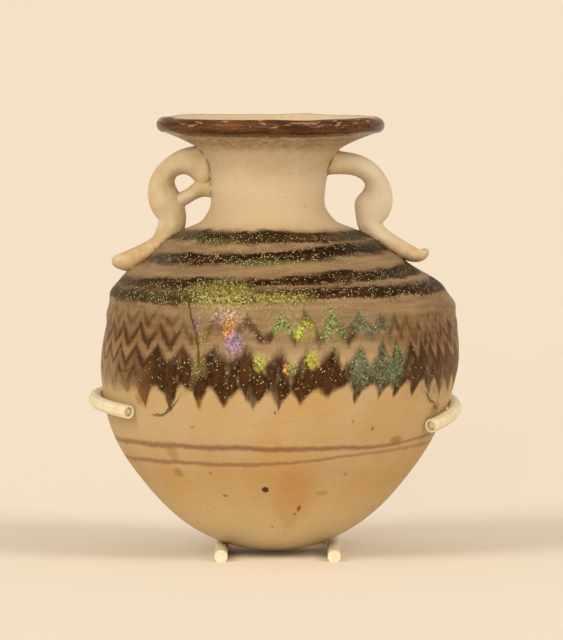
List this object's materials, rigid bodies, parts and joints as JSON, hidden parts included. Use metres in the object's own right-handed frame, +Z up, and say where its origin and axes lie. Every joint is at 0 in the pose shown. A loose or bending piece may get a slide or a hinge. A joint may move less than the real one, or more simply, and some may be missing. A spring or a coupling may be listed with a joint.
{
  "type": "core-formed glass oil flask in a rod cradle",
  "caption": "Round-bottomed core-formed glass oil flask with a flared rim, ring handles and combed dark bands, held upright in a painted rod cradle with sleeved arms.",
  "frame": {"origin": "middle of the whole part's footprint, on the surface that the cradle's foot stands on", "axes": "+Z up, through the mouth; -Y towards the open front of the cradle; the handles lie along X"},
  "size_m": [0.0566, 0.0564, 0.0667],
  "materials": {
    "glass": "weathered, half gloss",
    "painted_rod": "matt",
    "sleeving": "satin"
  },
  "bodies": {
    "root": {"flask": "glass", "cradle": "painted_rod", "sleeve_left": "sleeving", "sleeve_right": "sleeving"}
  },
  "joints": []
}
